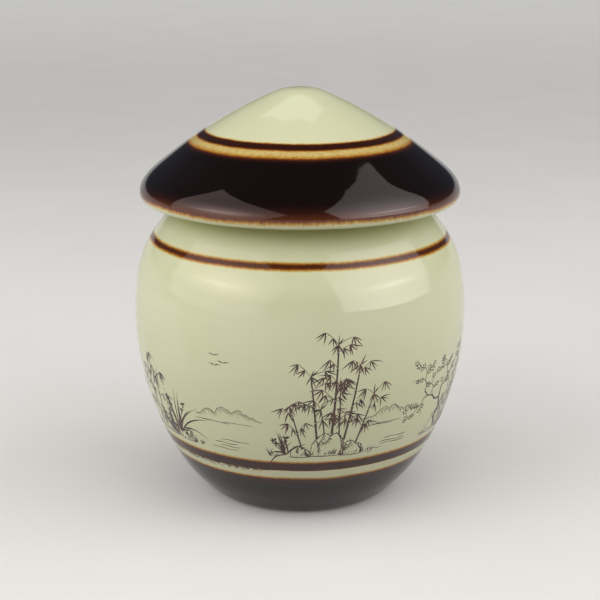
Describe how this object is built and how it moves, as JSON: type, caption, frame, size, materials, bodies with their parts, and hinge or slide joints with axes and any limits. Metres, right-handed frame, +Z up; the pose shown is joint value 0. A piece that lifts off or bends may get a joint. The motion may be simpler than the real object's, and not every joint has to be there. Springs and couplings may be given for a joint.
{
  "type": "lidded storage jar",
  "caption": "Round stoneware storage jar with a short neck and a pointed, hat-shaped lid whose flange carries a sealing ring.",
  "frame": {"origin": "middle of the foot ring's flat underside, on the surface that the jar stands on", "axes": "+Z up along the axis on which body and lid are turned; -Y is the side that the picture shows"},
  "size_m": [0.18, 0.18, 0.222],
  "materials": {
    "body_glaze": "glossy",
    "lid_glaze": "glossy",
    "seal_silicone": "satin"
  },
  "bodies": {
    "jar": {"jar_body": "body_glaze"},
    "seal": {"seal_ring": "seal_silicone"},
    "lid": {"lid": "lid_glaze"}
  },
  "joints": [
    {"name": "lid_lift", "type": "slide", "parent": "jar", "child": "seal", "axis": [0, 0, 1], "range_m": [0, 0.1]},
    {"name": "lid_turn", "type": "hinge", "parent": "seal", "child": "lid", "pos_m": [0, 0, 0.1803], "axis": [0, 0, 1], "continuous": true}
  ]
}
